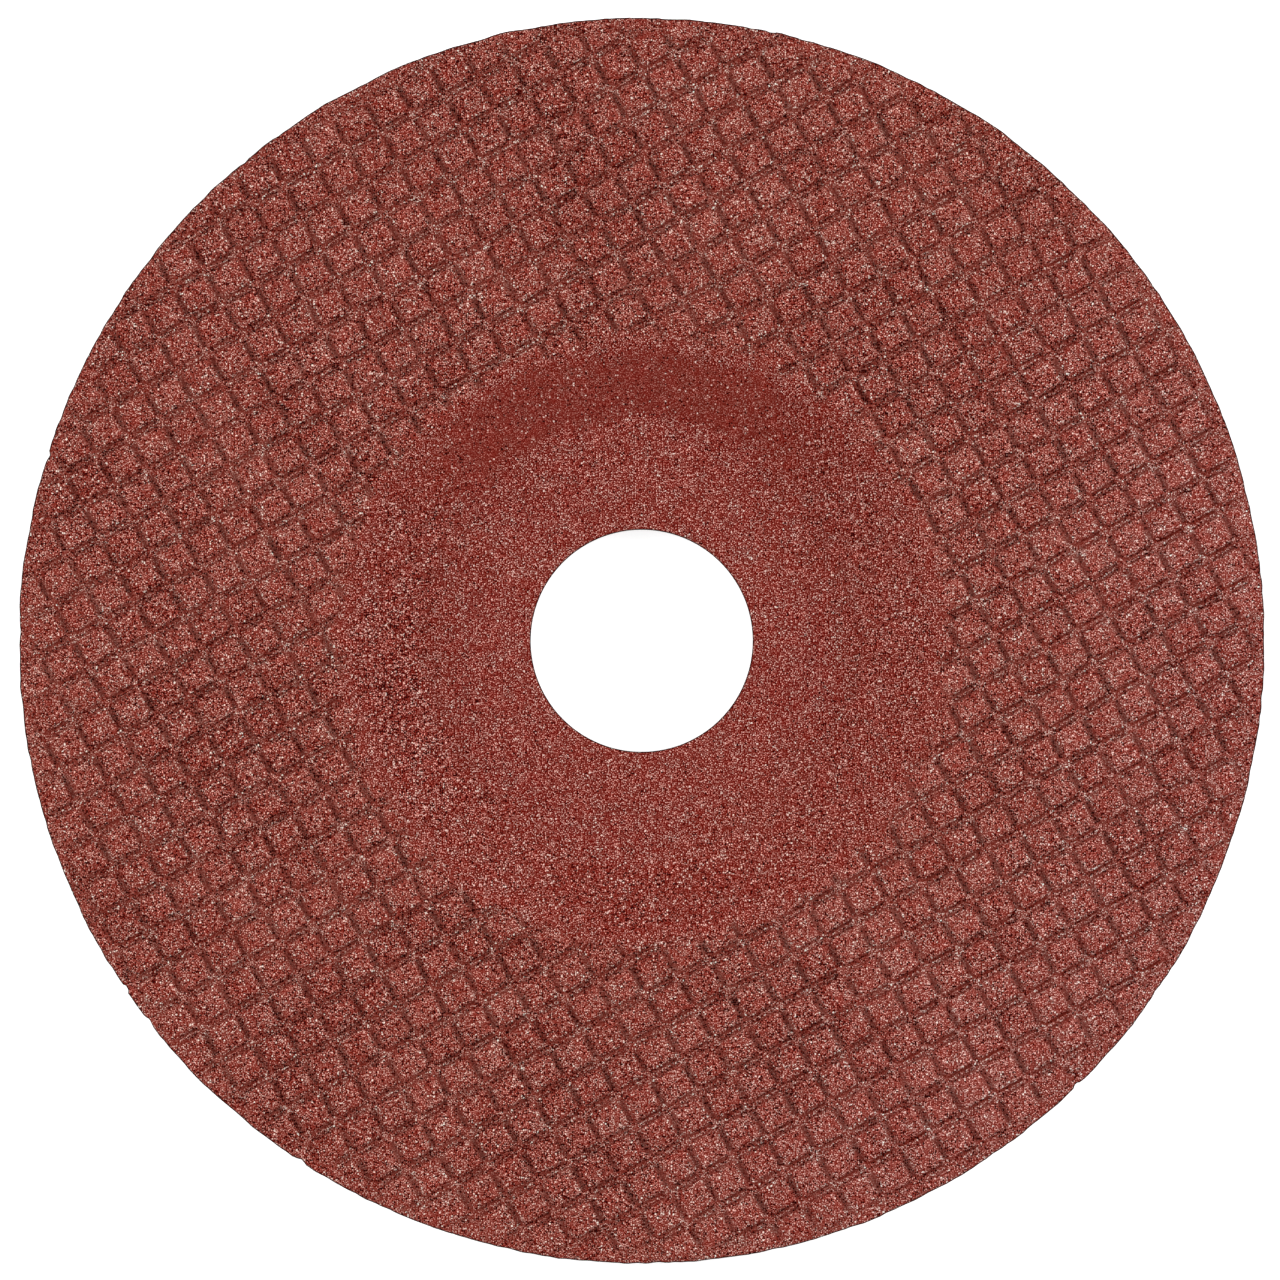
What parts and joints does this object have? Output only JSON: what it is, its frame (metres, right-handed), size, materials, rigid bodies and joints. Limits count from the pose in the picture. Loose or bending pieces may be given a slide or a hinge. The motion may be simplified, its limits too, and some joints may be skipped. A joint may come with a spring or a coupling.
{
  "type": "grinding disc",
  "caption": "Depressed-centre grinding disc of bonded abrasive for an angle grinder, with a waffle of square pads pressed into its working face.",
  "frame": {"origin": "on the bore's axis at the back of the hub, the face that the disc lies on", "axes": "+Z along the bore's axis, from the back towards the working face; the rows of pads run 28.8 degrees from +X towards +Y"},
  "size_m": [0.125, 0.125, 0.0076],
  "materials": {
    "abrasive": "coarse grain, matt"
  },
  "bodies": {
    "root": {"grinding_disc": "abrasive"}
  },
  "joints": []
}
